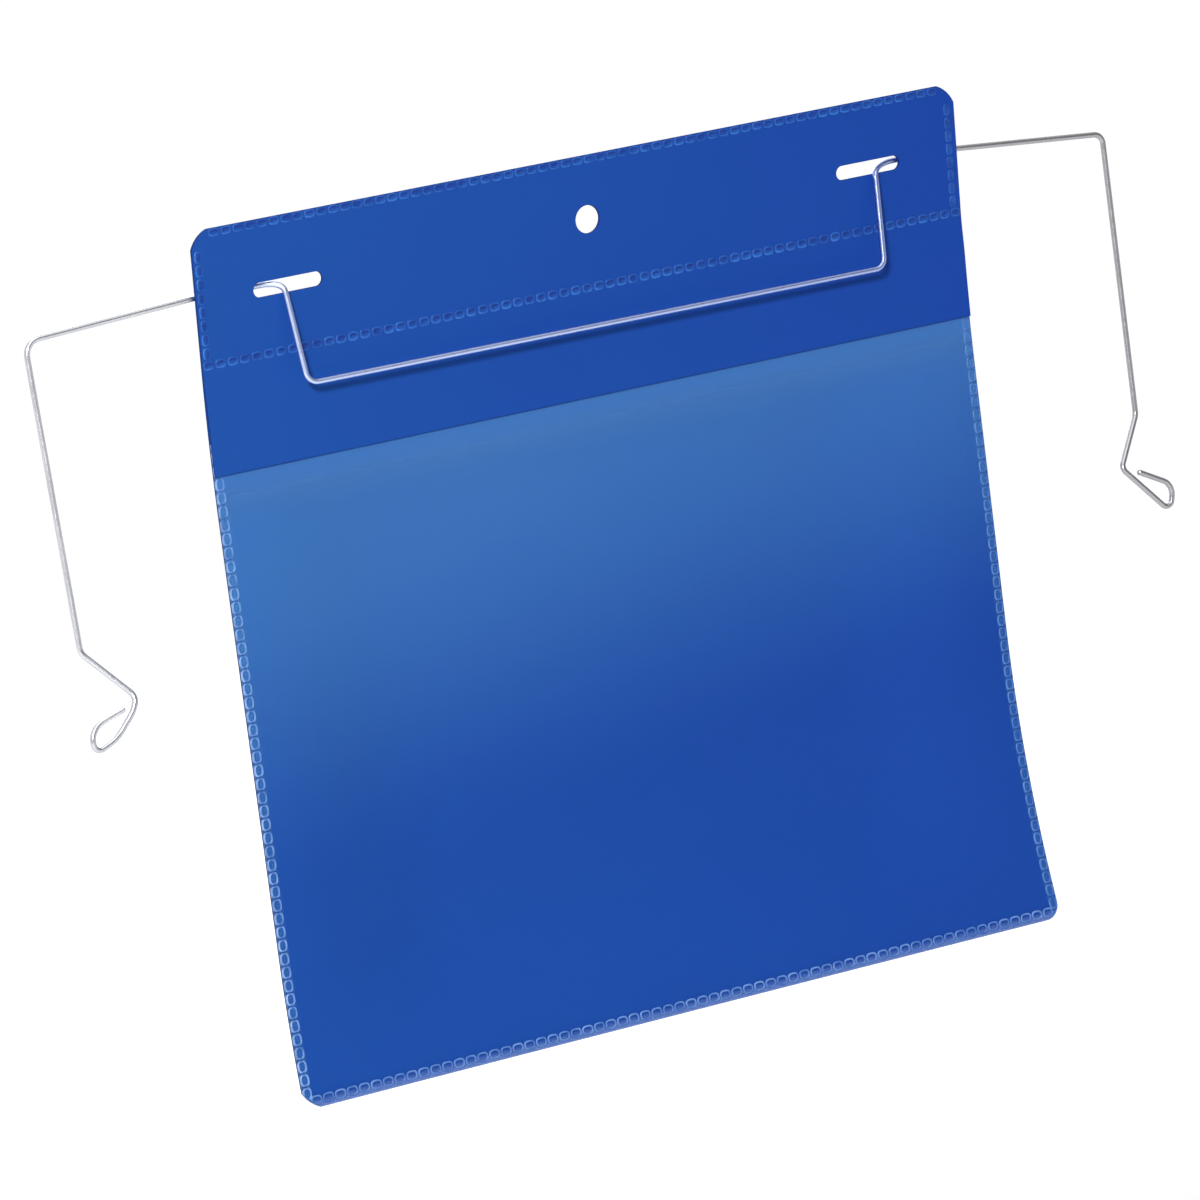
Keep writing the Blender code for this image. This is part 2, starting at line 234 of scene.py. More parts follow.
# Painted light under the flap: film in a lit colour, dense enough to hide the flap's shadow on the back
# sheet
HEM_PAINTED_COVER = 0.4  # under the flap
HEM_LOW = FLAP_EDGE - 14.0
LIP_PAINTED_COVER = 0.5  # more of it right at the flap's edge, where the film is also less glossy
LIP_LOW = FLAP_EDGE - 7.0
LIP_HIGH = FLAP_EDGE - 2.5
LIP_GLOSS = (0.5, 0.15)
END_HAZE = 0.3  # along the welded bottom
END_LOW = BOTTOM + 0.2
END_HIGH = BOTTOM + 2.6

# Colours in sRGB. Sheets: at the left and the right, paler at the left with painted light falloff, and
# darker at the cut edges with painted shade. Rings: plain and pale with painted light. Zinc: streaks and
# between.
BACK_BLUE = ((26, 75, 162), (25, 68, 159))
# painted shade: the back sheet's cut edges are darker than its face
BACK_EDGE = ((40, 66, 116), (28, 54, 116))
HEADER_BLUE = ((30, 80, 163), (25, 68, 162))
# painted shade: the header's cut edges are darker than its face
HEADER_EDGE = ((22, 58, 136), (16, 50, 134))
WINDOW_RINGS = ((34, 88, 174), (150, 190, 246))
HEADER_RINGS = ((10, 52, 140), (54, 118, 206))
BACK_RINGS = ((16, 60, 148), (42, 100, 188))
# pale colour of the veil, partly the film's own haze and partly painted sheen of light
VEIL_BLUE = (112, 194, 244)
# lit colour of the painted light under the flap
HEM_PAINTED_LIGHT = (50, 97, 173)
END_BLUE = (136, 164, 220)
FILM_EDGE = ((108, 132, 190), (146, 166, 214))
FILM_EDGE_PINCHED = (62, 82, 128)
ZINC = ((196, 198, 204), (225, 227, 232))
ZINC_RIGHT = (176, 176, 180)  # painted shade: it gets darker from left to right
WIRE_SHADE_FROM = -100.0
WIRE_SHADE_TO = 130.0
ZINC_BAIL_REFLECTED = ((196, 212, 255), (160, 178, 236))  # painted reflection of the blue sheet on the bail, at the left and the right, where it is darker with painted shade
BAIL_REFLECTED_BLUE = 0.85
BAIL_REFLECTION_NEAR = SLOT_X + 3.0
BAIL_REFLECTION_FAR = SLOT_X + 18.0
ZINC_EDGE = (0.8, 0.8, 0.82, 1.0)  # tint at grazing angles, linear

# Texture: noise scales per metre, bump heights in metres, and the values that a noise swings between
# painted light falloff across the sheets: share of the right colour at the left edge and at the right edge
SHEET_LIGHT_FALLOFF = (0.1, 0.9)
SHEET_CLOUD = 0.1
SHEET_GLOSS = 0.06
FILM_ROUGHNESS = (0.36, 0.41)
RING_PATCHES = (0.4, 1.2)
ZINC_ROUGHNESS = (0.26, 0.36)
PINCH = (0.1, 0.2)  # half width of a pinch in the film's edge, as a share of the ring pitch
PINCH_DEPTH = 0.5
CLOUD_SCALE = 14.0
SHEET_GRAIN_SCALE = 2600.0
SHEET_GRAIN_STRENGTH = 0.25
VEIL_CLOUD_SCALE = 9.0
FILM_GRAIN_SCALE = 2200.0
FILM_GRAIN_STRENGTH = 0.05
FILM_EDGE_SCALE = 900.0
RING_PATCH_SCALE = 320.0
ZINC_PATCH_SCALE = 700.0
STREAK_SCALE = 2.6  # per turn round the wire and per STREAK_LENGTH along it
STREAK_STRENGTH = 0.25
GRAIN_HEIGHT = 0.00002
STREAK_HEIGHT = 0.00003
FINE = 3.0  # detail of the finer noises
WIDE_SPREAD = 0.2  # noise values are taken this far on both sides of their middle
NARROW_SPREAD = 0.15

# Slices across each sheet, so that it follows its form
SHOULDER_SLICES = 10
MIDDLE_SLICES = 6
MOUTH_SLICES = 16
LENGTH_SLICES = 42
ACROSS_SLICES = 16
HEADER_SLICES = 8
STEP_SLICES = 10
BEND_SLICES = 20
FLAP_SLICES = 6
FILM_SLICES = 48

# Drawing
ARC_STEPS = 12
SNAP = 0.02
CUTTER_REACH = 5.0
SHARP_ANGLE = math.radians(40.0)

# Camera, fitted to the outline in the photograph
PHOTO_SIZE = 1200
FOCAL_PIXELS = 7472.6
CAMERA_YAW = math.radians(30.667)
CAMERA_PITCH = math.radians(-9.634)
CAMERA_ROLL = math.radians(-7.35)
CAMERA_DISTANCE = 1865.0
AIM = Vector((0.0, 0.0, -60.0))
AIM_PIXEL = (618.76, 522.95)
SENSOR = 36.0

# Stage, in metres and watts
FLOOR_BELOW = 0.32  # floor under the pocket's bottom edge
FLOOR_SIZE = 60.0
FLOOR_GREY = 0.82
FLOOR_NEAR = 0.8  # distance from the object
FLOOR_NEAR_SHOWN = 0.42  # what the floor adds there where it is the background
FLOOR_FAR = 3.2
FLOOR_FAR_SHOWN = 0.8
FLOOR_FRONT = 0.6  # share of that which the metal mirrors far in front
FLOOR_FRONT_FAR = -2.5
FLOOR_FRONT_NEAR = -0.4
WORLD_LIGHT = 0.25
ROOM_SHOWN = 0.3  # what the metal mirrors of the room in front
ROOM_TURN = 0.25  # half width of the change to the white behind
SOFTBOX = (-0.05, -0.4, 0.915)  # direction of the large soft light over it, also mirrored
SOFTBOX_EDGE = 0.8  # cosine of its half width
SOFTBOX_SOFT = 0.05  # half width of its soft edge
SOFTBOX_SHOWN = 1.1
KEY_PLACE = (-1.4, -1.75, 0.95)
KEY_SIZE = 0.35
KEY_POWER = 47.0
FILL_PLACE = (-0.1, -0.9, 2.0)
BACK_PLACE = (0.6, 1.9, 1.0)
FILL_SIZE = 1.4
FILL_POWER = 7.0
BACK_POWER = 20.0


def smooth(t):
    """0 to 1 with a soft start and end."""
    t = min(max(t, 0.0), 1.0)
    return t * t * (3 - 2 * t)


def steps(start, stop, count):
    """Evenly spaced values, both ends included."""
    return [start + (stop - start) * i / count for i in range(count + 1)]


# Form of the sheets


def sheet_y(x, z):
    """Front of the back sheet at its welded rim."""
    y = 0.0
    if z > -BEND_LENGTH:
        bend = min(z, 0.0) + BEND_LENGTH
        y -= math.tan(HEADER_LEAN) * (bend * bend / (2 * BEND_LENGTH) + max(z, 0.0))
    across = (x + HALF_WIDTH) / (2 * HALF_WIDTH)
    below = BOTTOM + CURL_LEFT + (CURL_RIGHT - CURL_LEFT) * across - z
    if below > 0:
        y -= below * below / (2 * CURL_RADIUS)
    return y


def back_y(x, z):
    """Front of the back sheet, bowed behind its rim."""
    side = smooth((HALF_WIDTH - WELD_MARGIN - abs(x)) / SIDE_SHOULDER)
    end = smooth((z - BOTTOM - WELD_MARGIN) / END_SHOULDER)
    mouth = smooth((-z - MOUTH_START) / MOUTH_SHOULDER)
    return sheet_y(x, z) + BACK_BOW * side * end * mouth


def front_y(x, z):
    """Back of the front sheet."""
    step = smooth(z / HEADER_BOTTOM)
    return sheet_y(x, z) - LAYER_GAP - (FLAP_STEP - LAYER_GAP) * step


def window_y(x, z):
    """Back of the window film."""
    return sheet_y(x, z) - LAYER_GAP


def back_face(x, z):
    return back_y(x, z) + BACK_SHEET


def front_face(x, z):
    return front_y(x, z) - FRONT_SHEET


def window_face(x, z):
    return window_y(x, z) - WINDOW_SHEET


ORIGIN = Vector((0.0, sheet_y(0.0, HOLE_Z) + HEADER_MIDDLE, HOLE_Z))


def to_frame(point):
    return (Vector(point) - ORIGIN) * MM


# Meshes


def new_object(name, bm, materials):
    """A smooth-shaded object in the frame from a body drawn in millimetres."""
    for v in bm.verts:
        v.co = to_frame(v.co)
    bmesh.ops.recalc_face_normals(bm, faces=bm.faces)
    mesh = bpy.data.meshes.new(name)
    bm.to_mesh(mesh)
    bm.free()
    for mat in materials:
        mesh.materials.append(mat)
    mesh.shade_smooth()
    mesh.set_sharp_from_angle(angle=SHARP_ANGLE)
    obj = bpy.data.objects.new(name, mesh)
    bpy.context.scene.collection.objects.link(obj)
    return obj


def punched_outline(low, high, low_right, high_right, high_left, low_left):
    """Counter-clockwise outline of a sheet in x and z. Each corner is a cut and the radius of its arc."""
    points = []
    corners = (
        (HALF_WIDTH, low, -1, 1, -45, low_right),
        (HALF_WIDTH, high, -1, -1, 45, high_right),
        (-HALF_WIDTH, high, 1, -1, 135, high_left),
        (-HALF_WIDTH, low, 1, 1, 225, low_left),
    )
    for x, z, into_x, into_z, middle, (cut, radius) in corners:
        if cut == 0:
            points.append((x, z))
            continue
        setback = cut / 2 + math.sqrt((radius**2 - cut**2 / 2) / 2)
        half_turn = math.asin(cut / (math.sqrt(2) * radius))
        for i in range(ARC_STEPS + 1):
            a = math.radians(middle) + half_turn * (2 * i / ARC_STEPS - 1)
            arc_x = into_x * setback + radius * math.cos(a)
            arc_z = into_z * setback + radius * math.sin(a)
            points.append((x + arc_x, z + arc_z))
    return points


def slot_outline(x, z, length, height):
    """A slot with round ends, or a round hole when length equals height."""
    points = []
    straight = (length - height) / 2
    for side, start in ((1, -90), (-1, 90)):
        for i in range(2 * ARC_STEPS + 1):
            a = math.radians(start + 90 * i / ARC_STEPS)
            points.append((x + side * straight + height / 2 * math.cos(a), z + height / 2 * math.sin(a)))
    if straight == 0:
        points = points[: 2 * ARC_STEPS] + points[2 * ARC_STEPS + 1 : -1]
    return points


def prism(outline, front, back):
    """A straight body between two depths."""
    bm = bmesh.new()
    near = [bm.verts.new((x, front, z)) for x, z in outline]
    far = [bm.verts.new((x, back, z)) for x, z in outline]
    bm.faces.new(near)
    bm.faces.new(list(reversed(far)))
    for i in range(len(outline)):
        j = (i + 1) % len(outline)
        bm.faces.new((near[j], near[i], far[i], far[j]))
    bmesh.ops.recalc_face_normals(bm, faces=bm.faces)
    return bm


def scratch_object(name, bm):
    mesh = bpy.data.meshes.new(name)
    bm.to_mesh(mesh)
    bm.free()
    obj = bpy.data.objects.new(name, mesh)
    bpy.context.scene.collection.objects.link(obj)
    return obj


def cut_openings(bm):
    """Cuts the hang hole and the two slots through a flat slab."""
    places = (SLOT_SHIFT - SLOT_X, SLOT_SHIFT + SLOT_X)
    outlines = [slot_outline(x, SLOT_Z, SLOT_LENGTH, SLOT_HEIGHT) for x in places]
    outlines.append(slot_outline(0.0, HOLE_Z, HOLE_DIAMETER, HOLE_DIAMETER))
    slab = scratch_object("slab", bm)
    used = [slab]
    for outline in outlines:
        cutter = scratch_object("cutter", prism(outline, -CUTTER_REACH, CUTTER_REACH))
        used.append(cutter)
        boolean = slab.modifiers.new("opening", "BOOLEAN")
        boolean.operation = "DIFFERENCE"
        boolean.solver = "EXACT"
        boolean.object = cutter
    bpy.context.view_layer.update()
    evaluated = slab.evaluated_get(bpy.context.evaluated_depsgraph_get())
    cut = bmesh.new()
    cut.from_mesh(evaluated.to_mesh())
    for obj in used:
        bpy.data.objects.remove(obj)
    return cut


def slice_at(bm, xs, zs):
    """Adds edges across a slab so that it can follow a curved form."""
    for axis, values in ((Vector((1, 0, 0)), xs), (Vector((0, 0, 1)), zs)):
        for value in values:
            geometry = bm.verts[:] + bm.edges[:] + bm.faces[:]
            bmesh.ops.bisect_plane(bm, geom=geometry, dist=SNAP, plane_co=axis * value, plane_no=axis)


def sheet(name, bm, form, materials, edge_round):
    """Bends a sliced slab to its form. Its cut edges get the second material."""
    for face in bm.faces:
        face.normal_update()
        face.material_index = 0 if abs(face.normal.y) > 0.5 else 1
    for v in bm.verts:
        v.co.y += form(v.co.x, v.co.z)
    obj = new_object(name, bm, materials)
    bevel = obj.modifiers.new("cut edge", "BEVEL")
    bevel.width = edge_round * MM
    bevel.segments = 2
    bevel.limit_method = "ANGLE"
    bevel.angle_limit = SHARP_ANGLE
    bevel.material = 1
    return obj


def row_between(start, end, ring, ring_light):
    """Rings at an even pitch from one point to another."""
    run = Vector(end) - Vector(start)
    count = max(round(run.length / RING_PITCH), 1)
    turn = math.atan2(run.y, run.x)
    rng = random.Random(round(run.length * 10))
    row = []
    for i in range(count):
        place = Vector(start) + run * ((i + 0.5) / count)
        row.append((place, turn, 1.0 - rng.uniform(0.0, RING_SPREAD), ring, ring_light))
    return row


def ring_profile(ring):
    """Section of a ring's raised line, from outside in: place across the line, and height."""
    shoulder = SHOULDER_HEIGHT * ring.height
    inside = HOLLOW_HEIGHT if ring.floor else -RING_SINK
    return (
        (0.5, -RING_SINK),
        (RING_SHOULDER, shoulder),
        (0.0, ring.height),
        (-RING_SHOULDER, shoulder),
        (-0.5, inside),
    )


def raise_ring(bm, place, turn, size, ring, ring_light, surface, lift):
    """One raised oval line round a shallow hollow, with its painted light and shade kept at its points."""
    ring_light_layer = bm.verts.layers.float["ring_light"]
    profile = ring_profile(ring)
    along = Vector((math.cos(turn), math.sin(turn)))
    across = Vector((abs(along.y), abs(along.x)))
    loops = []
    for k in range(RING_POINTS):
        a = 2 * math.pi * k / RING_POINTS
        c, s = math.cos(a), math.sin(a)
        squared = (abs(c) ** RING_SQUARENESS + abs(s) ** RING_SQUARENESS) ** (-1 / RING_SQUARENESS)
        # painted light on the ring's sides and ends, and painted light or shade in its hollow by its side
        side = ring_light.plus if s > 0 else ring_light.minus
        crest = ring_light.ends + (side - ring_light.ends) * smooth(abs(s) * squared)
        hollow = ring_light.minus_hollow + (ring_light.plus_hollow - ring_light.minus_hollow) * (s * squared + 1) / 2
        loop = []
        for share, height in profile:
            grow = ring.line * (share - 0.5)
            flat = along * (size * c * squared * (ring.length / 2 + grow))
            flat += across * (s * squared * (ring.width / 2 + grow))
            point = place + flat
            v = bm.verts.new((point.x, surface(*point) + lift * height, point.y))
            v[ring_light_layer] = hollow if share < 0 else crest
            loop.append(v)
        loops.append(loop)
    join_loops(bm, loops, ring.floor)


def join_loops(bm, loops, floor):
    """Faces between the sections of a ring. A ring with a floor is closed on top and below."""
    count = len(loops[0])
    for i, loop in enumerate(loops):
        following = loops[(i + 1) % len(loops)]
        for j in range(count - 1 if floor else count):
            k = (j + 1) % count
            bm.faces.new((loop[j], loop[k], following[k], following[j]))
    if floor:
        bm.faces.new([loop[0] for loop in loops])
        bm.faces.new([loop[-1] for loop in loops])


def trim_rings(bm):
    """Cuts off what reaches past the side edges and the lower corners and closes the cuts."""
    for side, trim in ((-1, LOW_LEFT_TRIM), (1, LOW_RIGHT_TRIM)):
        diagonal = Vector((side, 0, -1)).normalized()
        corner = Vector((side * HALF_WIDTH, 0, BOTTOM))
        edge = Vector((side * (HALF_WIDTH - SNAP), 0, 0))
        for place, outward in ((edge, Vector((side, 0, 0))), (corner - diagonal * trim, diagonal)):
            geometry = bm.verts[:] + bm.edges[:] + bm.faces[:]
            bmesh.ops.bisect_plane(bm, geom=geometry, plane_co=place, plane_no=outward, clear_outer=True)
            bmesh.ops.edgeloop_fill(bm, edges=[e for e in bm.edges if e.is_boundary])


# Materials


def linear(srgb):
    """A colour of 0 to 255 in the linear scale of the shaders."""
    return tuple(((c / 255 + 0.055) / 1.055) ** 2.4 for c in srgb)


def start_material(name):
    mat = bpy.data.materials.new(name)
    mat.use_nodes = True
    return mat, mat.node_tree, mat.node_tree.nodes["Principled BSDF"]


def node(tree, kind, **values):
    """A node with its properties and input values set."""
    made = tree.nodes.new(kind)
    for key, value in values.items():
        if hasattr(made, key):
            setattr(made, key, value)
        else:
            made.inputs[key.replace("_", " ").title()].default_value = value
    return made


def noise(tree, place, scale, detail=2.0):
    made = node(tree, "ShaderNodeTexNoise", scale=scale, detail=detail)
    tree.links.new(place, made.inputs["Vector"])
    return made.outputs["Fac"]


def remap(tree, value, low, high, to_low, to_high, soft=False):
    """Scales a value from one range to another, kept inside the new range."""
    made = node(tree, "ShaderNodeMapRange")
    made.interpolation_type = "SMOOTHSTEP" if soft else "LINEAR"
    tree.links.new(value, made.inputs["Value"])
    for key, number in (("From Min", low), ("From Max", high), ("To Min", to_low), ("To Max", to_high)):
        made.inputs[key].default_value = number
    return made.outputs["Result"]


def vary(tree, noise_value, low, high, spread=WIDE_SPREAD):
    """A noise scaled to swing between two values."""
    return remap(tree, noise_value, 0.5 - spread, 0.5 + spread, low, high)


def rise(tree, z, low, high, amount):
    """Grows softly from 0 at one height to an amount at another."""
    return remap(tree, z, frame_z(low), frame_z(high), 0.0, amount, soft=True)


def math_node(tree, operation, first, second=0.0):
    """A Math node whose inputs are sockets or plain numbers."""
    made = node(tree, "ShaderNodeMath", operation=operation)
    for socket, value in zip(made.inputs, (first, second)):
        if isinstance(value, (int, float)):
            socket.default_value = value
        else:
            tree.links.new(value, socket)
    return made.outputs[0]


def mix_colour(tree, share, first, second):
    """Two colours mixed by a socket. Each is a plain colour or another socket."""
    made = node(tree, "ShaderNodeMix", data_type="RGBA")
    tree.links.new(share, made.inputs["Factor"])
    for key, value in (("A", first), ("B", second)):
        socket = [s for s in made.inputs if s.name == key and s.type == "RGBA"][0]
        if isinstance(value, tuple):
            socket.default_value = (*linear(value), 1.0)
        else:
            tree.links.new(value, socket)
    return [s for s in made.outputs if s.type == "RGBA"][0]


def bump(tree, shader, height, distance, strength):
    made = node(tree, "ShaderNodeBump", distance=distance, strength=strength)
    tree.links.new(height, made.inputs["Height"])
    tree.links.new(made.outputs["Normal"], shader.inputs["Normal"])


def object_place(tree):
    return node(tree, "ShaderNodeTexCoord").outputs["Object"]


def split_place(tree, place):
    """The x, y and z of a place or direction."""
    split = node(tree, "ShaderNodeSeparateXYZ")
    tree.links.new(place, split.inputs[0])
    return split.outputs


def frame_z(z):
    return (z - HOLE_Z) * MM


def polypropylene(name, colours, roughness, specular):
    """Satin plastic sheet: colour that changes slowly across it, paler at the left with painted light
    falloff, faint clouding, fine matt grain.
    """
    mat, tree, shader = start_material(name)
    place = object_place(tree)
    x, _, _ = split_place(tree, place)
    # painted light falloff from the paler left colour to the right one
    light_falloff = remap(tree, x, -HALF_WIDTH * MM, HALF_WIDTH * MM, *SHEET_LIGHT_FALLOFF)
    cloud = vary(tree, noise(tree, place, CLOUD_SCALE), -SHEET_CLOUD, SHEET_CLOUD)
    share = math_node(tree, "ADD", light_falloff, cloud)
    tree.links.new(mix_colour(tree, share, *colours), shader.inputs["Base Color"])
    grain = noise(tree, place, SHEET_GRAIN_SCALE, FINE)
    gloss = vary(tree, grain, roughness - SHEET_GLOSS, roughness + SHEET_GLOSS)
    tree.links.new(gloss, shader.inputs["Roughness"])
    shader.inputs["Specular IOR Level"].default_value = specular
    bump(tree, shader, grain, GRAIN_HEIGHT, SHEET_GRAIN_STRENGTH)
    return mat


def film_veil(tree, place):
    """Haze of the film away from its hem: the veil, which is partly its own haze and partly painted sheen of
    light, and the welded sides.
    """
    x, _, z = split_place(tree, place)
    # painted light: the veil reaches further down on the left
    slanted = math_node(tree, "SUBTRACT", z, math_node(tree, "MULTIPLY", x, VEIL_SLANT))
    veil = remap(tree, slanted, frame_z(VEIL_LOW), frame_z(VEIL_HIGH), *VEIL_HAZE, soft=True)
    cloud = vary(tree, noise(tree, place, VEIL_CLOUD_SCALE), 1 - VEIL_CLOUD, 1 + VEIL_CLOUD)
    veil = math_node(tree, "MULTIPLY", veil, cloud)
    inner = (HALF_WIDTH - RIM_WIDTH) * MM
    outward = math_node(tree, "ABSOLUTE", x)
    side = remap(tree, outward, inner, inner + RIM_SOFT * MM, 0.0, RIM_HAZE, soft=True)
    return math_node(tree, "ADD", veil, side)


def window_material():
    """Clear film: a milky veil that closes up at the mouth, partly its own haze and partly painted sheen of
    light, painted light under the flap that hides the flap's shadow on the back sheet, and a hazy rim where
    it is welded.
    """
    mat, tree, shader = start_material("window_film")
    place = object_place(tree)
    z = split_place(tree, place)[2]
    # painted light under the flap, which hides its shadow on the back sheet
    hem = rise(tree, z, HEM_LOW, FLAP_EDGE, HEM_PAINTED_COVER)
    hem = math_node(tree, "ADD", hem, rise(tree, z, LIP_LOW, LIP_HIGH, LIP_PAINTED_COVER))
    end = rise(tree, z, END_HIGH, END_LOW, END_HAZE)
    cover = math_node(tree, "ADD", film_veil(tree, place), hem)
    colour = mix_colour(tree, math_node(tree, "DIVIDE", hem, cover), VEIL_BLUE, HEM_PAINTED_LIGHT)
    cover = math_node(tree, "ADD", cover, end)
    colour = mix_colour(tree, math_node(tree, "DIVIDE", end, cover), colour, END_BLUE)
    tree.links.new(cover, shader.inputs["Alpha"])
    tree.links.new(colour, shader.inputs["Base Color"])
    grain = noise(tree, place, FILM_GRAIN_SCALE, FINE)
    tree.links.new(vary(tree, grain, *FILM_ROUGHNESS), shader.inputs["Roughness"])
    gloss = remap(tree, z, frame_z(LIP_LOW), frame_z(LIP_HIGH), *LIP_GLOSS, soft=True)
    tree.links.new(gloss, shader.inputs["Specular IOR Level"])
    bump(tree, shader, grain, GRAIN_HEIGHT, FILM_GRAIN_STRENGTH)
    return mat


def film_edge_material():
    """Cut edge of the film: whitened by the cut, pinched dark between the weld rings at the sides."""
    mat, tree, shader = start_material("film_cut_edge")
    place = object_place(tree)
    x, _, z = split_place(tree, place)
    run = SIDE_ROW_HIGH - SIDE_ROW_LOW
    pitch = run / round(run / RING_PITCH)
    down = math_node(tree, "SUBTRACT", frame_z(SIDE_ROW_HIGH), z)
    count = math_node(tree, "MULTIPLY", down, 1 / (pitch * MM))
    pinch = remap(tree, math_node(tree, "PINGPONG", count, 0.5), *PINCH, 1.0, 0.0, soft=True)
    outward = math_node(tree, "ABSOLUTE", x)
    outer = math_node(tree, "GREATER_THAN", outward, (HALF_WIDTH - PINCH_DEPTH) * MM)
    share = vary(tree, noise(tree, place, FILM_EDGE_SCALE), 0.0, 1.0, NARROW_SPREAD)
    pale = mix_colour(tree, share, *FILM_EDGE)
    colour = mix_colour(tree, math_node(tree, "MULTIPLY", pinch, outer), pale, FILM_EDGE_PINCHED)
    tree.links.new(colour, shader.inputs["Base Color"])
    shader.inputs["Roughness"].default_value = 0.5
    return mat


def ring_material(name, colours):
    """Embossed weld, paler where light is painted on it and darker where shade is, varied in patches."""
    mat, tree, shader = start_material(name)
    ring_light = node(tree, "ShaderNodeAttribute", attribute_name="ring_light").outputs["Fac"]
    patches = noise(tree, object_place(tree), RING_PATCH_SCALE, FINE)
    # share of the pale colour: the painted light and shade at the points, varied in patches
    share = math_node(tree, "MULTIPLY", ring_light, vary(tree, patches, *RING_PATCHES, NARROW_SPREAD))
    tree.links.new(mix_colour(tree, share, *colours), shader.inputs["Base Color"])
    shader.inputs["Roughness"].default_value = 0.4
    shader.inputs["Specular IOR Level"].default_value = 0.2
    return mat


def wire_colour(tree, place, streak):
    """Zinc with bright streaks, darker towards the right with painted shade. The bail in front of the sheet
    is bluer with a painted reflection of the blue sheet.
    """
    x = split_place(tree, place)[0]
    # painted shade: darker towards the right
    dull = remap(tree, x, WIRE_SHADE_FROM * MM, WIRE_SHADE_TO * MM, 0.0, 1.0, soft=True)
    bright = mix_colour(tree, vary(tree, streak, 0.0, 1.0), *ZINC)
    plain = mix_colour(tree, dull, bright, ZINC_RIGHT)
    reflected_blue = mix_colour(tree, dull, *ZINC_BAIL_REFLECTED)
    outward = math_node(tree, "ABSOLUTE", x)
    # painted reflection of the blue sheet on the bail in front of it
    bail = remap(tree, outward, BAIL_REFLECTION_NEAR * MM, BAIL_REFLECTION_FAR * MM, BAIL_REFLECTED_BLUE, 0.0, soft=True)
    return mix_colour(tree, bail, plain, reflected_blue)


def wire_material():
    """Galvanised drawn wire: long streaks along its length, dull zinc patches."""
    mat, tree, shader = start_material("galvanised_wire")
    drawn = node(tree, "ShaderNodeAttribute", attribute_name="drawn").outputs["Vector"]
    streak = noise(tree, drawn, STREAK_SCALE, FINE)
    place = object_place(tree)
    tree.links.new(wire_colour(tree, place, streak), shader.inputs["Base Color"])
    patches = noise(tree, place, ZINC_PATCH_SCALE, FINE)
    tree.links.new(vary(tree, patches, *ZINC_ROUGHNESS), shader.inputs["Roughness"])
    shader.inputs["Metallic"].default_value = 1.0
    shader.inputs["Specular Tint"].default_value = ZINC_EDGE
    bump(tree, shader, streak, STREAK_HEIGHT, STREAK_STRENGTH)
    return mat


# Pieces


def back_sheet():
    """One sheet from the top edge to the bottom."""
    outline = punched_outline(BOTTOM, HEADER_HEIGHT, LOW_RIGHT, TOP_RIGHT, TOP_LEFT, LOW_LEFT)
    bm = cut_openings(prism(outline, 0.0, BACK_SHEET))
    rim = HALF_WIDTH - WELD_MARGIN
    right = steps(rim, rim - SIDE_SHOULDER, SHOULDER_SLICES)
    right += steps(rim - SIDE_SHOULDER, 0.0, MIDDLE_SLICES)[1:-1]
    xs = [-x for x in right] + [0.0] + right
    zs = steps(0.0, -BEND_LENGTH, MOUTH_SLICES)
    zs += steps(-BEND_LENGTH, BOTTOM + WELD_MARGIN, LENGTH_SLICES)[1:]
    slice_at(bm, xs, zs)
    blue = polypropylene("back_blue", BACK_BLUE, roughness=0.45, specular=0.08)
    edge = polypropylene("back_cut_edge", BACK_EDGE, roughness=0.5, specular=0.04)
    obj = sheet("back_sheet", bm, back_y, [blue, edge], BACK_EDGE_ROUND)
    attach(obj, "pocket")
    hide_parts("back_panel")


def front_sheet():
    """Header front and rain flap in one sheet, which bends at the hinge line when the flap lifts."""
    outline = punched_outline(FLAP_EDGE, HEADER_HEIGHT, SQUARE, TOP_RIGHT, TOP_LEFT, SQUARE)
    bm = cut_openings(prism(outline, -FRONT_SHEET, 0.0))
    xs = steps(-HALF_WIDTH, HALF_WIDTH, ACROSS_SLICES)[1:-1]
    bend = steps(HINGE_Z + BEND_ABOVE, HINGE_Z - BEND_BELOW, BEND_SLICES)
    zs = steps(HEADER_HEIGHT, 0.0, HEADER_SLICES)[1:] + steps(0.0, bend[0], STEP_SLICES)[1:-1]
    zs += bend + steps(bend[-1], FLAP_EDGE, FLAP_SLICES)[1:-1]
    slice_at(bm, xs, zs)
    blue = polypropylene("header_blue", HEADER_BLUE, roughness=0.42, specular=0.08)
    edge = polypropylene("header_cut_edge", HEADER_EDGE, roughness=0.5, specular=0.04)
    obj = sheet("front_sheet", bm, front_y, [blue, edge], FRONT_EDGE_ROUND)
    hinge = JOINTS["flap_lift"] * MM
    up = Vector((0.0, 0.0, MM))
    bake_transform(obj, "pocket", "flap", start=hinge + up * BEND_ABOVE, end=hinge - up * BEND_BELOW)
    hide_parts("header_front", "rain_flap")


def window():
    """Clear front of the pocket, which lets the light through to the back sheet."""
    outline = punched_outline(BOTTOM, WINDOW_TOP, LOW_RIGHT, SQUARE, SQUARE, LOW_LEFT)
    bm = prism(outline, -WINDOW_SHEET, 0.0)
    xs = steps(-HALF_WIDTH, HALF_WIDTH, ACROSS_SLICES)[1:-1]
    zs = steps(WINDOW_TOP, BOTTOM, FILM_SLICES)[1:-1]
    slice_at(bm, xs, zs)
    obj = sheet("window", bm, window_y, [window_material(), film_edge_material()], FILM_EDGE_ROUND)
    obj.visible_shadow = False  # its hazy hem would leave a dark band on the back sheet
    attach(obj, "pocket")
    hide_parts("front_window")


